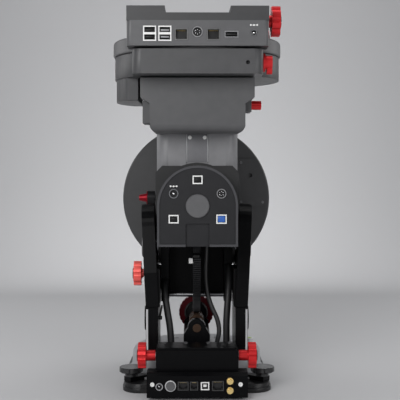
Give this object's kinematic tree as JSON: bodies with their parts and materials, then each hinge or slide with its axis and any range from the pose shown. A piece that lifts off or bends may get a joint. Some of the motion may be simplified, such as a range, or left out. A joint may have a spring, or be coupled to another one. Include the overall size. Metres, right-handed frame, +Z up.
{
  "type": "equatorial mount",
  "caption": "Telescope equatorial mount: round turntable, fork with latitude tilt, polar drive drum, declination head and clamping dovetail saddle with sockets.",
  "frame": {"origin": "centre of the pier face, on the azimuth axis", "axes": "+X to the right seen from the control box, +Y from the control box to the back, +Z up along the azimuth axis"},
  "size_m": [0.23, 0.3383, 0.525],
  "materials": {
    "black_paint": "satin black coat",
    "charcoal_paint": "satin charcoal coat",
    "pale_cast": "bead-blasted pale grey",
    "black_plastic": "matt moulded",
    "red_anodised": "red anodised, satin",
    "steel": "turned",
    "brass": "turned",
    "socket_shell": "plated shells",
    "vial": "clear vial",
    "lead_sheath": "soft black sheath"
  },
  "bodies": {
    "base": {"base_plate": "black_paint", "azimuth_peg": "steel", "clamp_shoes": "black_paint"},
    "lock_front_left": {"lock_knob_front_left": "black_plastic"},
    "lock_front_right": {"lock_knob_front_right": "black_plastic"},
    "lock_rear_left": {"lock_knob_rear_left": "black_plastic"},
    "lock_rear_right": {"lock_knob_rear_right": "black_plastic"},
    "table": {"turntable": "pale_cast", "fork_uprights": "black_paint", "fork_arm_left": "black_paint", "fork_arm_right": "black_paint", "gear_bracket": "black_paint", "azimuth_block": "black_paint", "control_box": "black_paint", "control_ports": "socket_shell", "antenna_sockets": "brass", "level_vial": "vial", "left_lead": "lead_sheath", "right_lead": "lead_sheath", "cross_lead": "lead_sheath"},
    "az_screw_left": {"azimuth_screw_left": "steel"},
    "az_screw_right": {"azimuth_screw_right": "steel"},
    "az_knob_left": {"azimuth_knob_left": "red_anodised"},
    "az_knob_right": {"azimuth_knob_right": "red_anodised"},
    "latitude_lock": {"latitude_lock_knob": "red_anodised"},
    "button": {"power_button": "steel"},
    "altitude_drive": {"worm_shaft": "brass", "hand_wheel": "red_anodised"},
    "ra_stator": {"ra_housing": "black_paint", "latitude_frame": "black_paint", "ra_rear_cover": "charcoal_paint", "ra_worm_cover": "charcoal_paint", "ra_bearings": "steel", "trunnions": "steel", "latitude_sector": "steel", "tie_rod": "steel"},
    "ra_rotor": {"ra_shaft": "steel", "ra_worm_wheel": "brass", "hub": "charcoal_paint", "control_panel": "charcoal_paint", "panel_ports": "socket_shell", "sight_cap": "charcoal_paint", "neck": "charcoal_paint", "dec_body": "charcoal_paint", "dec_front_cover": "charcoal_paint", "dec_drum": "charcoal_paint", "dec_bearing": "steel"},
    "ra_lock": {"ra_lock_knob": "red_anodised"},
    "lever": {"gear_lever": "red_anodised"},
    "dec_lock": {"dec_thumbscrew": "red_anodised"},
    "dec_head": {"dec_shaft": "steel", "dec_worm_wheel": "brass", "dec_disc": "charcoal_paint", "saddle_plate": "charcoal_paint", "fixed_jaw": "charcoal_paint", "saddle_box": "charcoal_paint", "saddle_ports": "socket_shell"},
    "jaw": {"moving_jaw": "charcoal_paint"},
    "clamp_front": {"saddle_knob_front": "red_anodised"},
    "clamp_rear": {"saddle_knob_rear": "red_anodised"}
  },
  "joints": [
    {"name": "azimuth", "type": "hinge", "parent": "base", "child": "table", "pos_m": [0, 0, 0], "axis": [0, 0, 1], "range_deg": [-5, 5]},
    {"name": "az_screw_left_travel", "type": "slide", "parent": "table", "child": "az_screw_left", "axis": [1, 0, 0], "range_m": [-0.0098, 0.0098]},
    {"name": "az_screw_right_travel", "type": "slide", "parent": "table", "child": "az_screw_right", "axis": [1, 0, 0], "range_m": [-0.0098, 0.0098]},
    {"name": "az_knob_left_turn", "type": "hinge", "parent": "az_screw_left", "child": "az_knob_left", "pos_m": [-0.07, -0.111, 0.056], "axis": [1, 0, 0], "continuous": true},
    {"name": "az_knob_right_turn", "type": "hinge", "parent": "az_screw_right", "child": "az_knob_right", "pos_m": [0.07, -0.111, 0.056], "axis": [1, 0, 0], "continuous": true},
    {"name": "lock_front_left_turn", "type": "hinge", "parent": "base", "child": "lock_front_left", "pos_m": [-0.094, -0.076, 0.02], "axis": [0, 0, 1], "continuous": true},
    {"name": "lock_rear_left_turn", "type": "hinge", "parent": "base", "child": "lock_rear_left", "pos_m": [-0.072, 0.0915, 0.02], "axis": [0, 0, 1], "continuous": true},
    {"name": "lock_front_right_turn", "type": "hinge", "parent": "base", "child": "lock_front_right", "pos_m": [0.094, -0.076, 0.02], "axis": [0, 0, 1], "continuous": true},
    {"name": "lock_rear_right_turn", "type": "hinge", "parent": "base", "child": "lock_rear_right", "pos_m": [0.072, 0.0915, 0.02], "axis": [0, 0, 1], "continuous": true},
    {"name": "latitude", "type": "hinge", "parent": "table", "child": "ra_stator", "pos_m": [0, 0.02, 0.195], "axis": [-1, 0, 0], "range_deg": [0, 67], "deforming": ["left_lead", "right_lead", "cross_lead"]},
    {"name": "latitude_lock_turn", "type": "hinge", "parent": "table", "child": "latitude_lock", "pos_m": [-0.08, -0.032, 0.161], "axis": [1, 0, 0], "continuous": true},
    {"name": "altitude_drive_turn", "type": "hinge", "parent": "table", "child": "altitude_drive", "pos_m": [0, 0, 0.0845], "axis": [0, 1, 0], "continuous": true},
    {"name": "button_press", "type": "slide", "parent": "table", "child": "button", "axis": [0, 1, 0], "range_m": [0, 0.002], "stiffness_N_per_m": 400},
    {"name": "ra", "type": "hinge", "parent": "ra_stator", "child": "ra_rotor", "pos_m": [0, 0, 0.268], "axis": [0, 1, 0], "range_deg": [-95, 95]},
    {"name": "ra_lock_turn", "type": "hinge", "parent": "ra_rotor", "child": "ra_lock", "pos_m": [-0.06, -0.142, 0.277], "axis": [1, 0, 0], "continuous": true},
    {"name": "gear_lever_turn", "type": "hinge", "parent": "ra_rotor", "child": "lever", "pos_m": [0.085, -0.196, 0.452], "axis": [1, 0, 0], "range_deg": [-90, 0]},
    {"name": "dec_lock_turn", "type": "hinge", "parent": "ra_rotor", "child": "dec_lock", "pos_m": [0.07, -0.15, 0.4004], "axis": [1, 0, 0], "continuous": true},
    {"name": "dec", "type": "hinge", "parent": "ra_rotor", "child": "dec_head", "pos_m": [0, -0.1, 0.45], "axis": [0, 0, 1], "continuous": true},
    {"name": "saddle_clamp_front", "type": "hinge", "parent": "dec_head", "child": "clamp_front", "pos_m": [0.09, -0.185, 0.506], "axis": [1, 0, 0], "range_deg": [0, 1440]},
    {"name": "saddle_clamp_rear", "type": "hinge", "parent": "dec_head", "child": "clamp_rear", "pos_m": [0.09, -0.015, 0.506], "axis": [1, 0, 0], "range_deg": [0, 1440]},
    {"name": "jaw_travel", "type": "slide", "parent": "dec_head", "child": "jaw", "axis": [1, 0, 0], "range_m": [0, 0.006]}
  ],
  "couplings": [
    {"joint": "az_screw_left_travel", "follows": "azimuth", "m_per_rad": -0.111},
    {"joint": "az_screw_right_travel", "follows": "azimuth", "m_per_rad": -0.111},
    {"joint": "altitude_drive_turn", "follows": "latitude", "ratio": 188.48},
    {"joint": "saddle_clamp_front", "follows": "jaw_travel", "rad_per_m": 4188.8},
    {"joint": "saddle_clamp_rear", "follows": "jaw_travel", "rad_per_m": 4188.8}
  ]
}
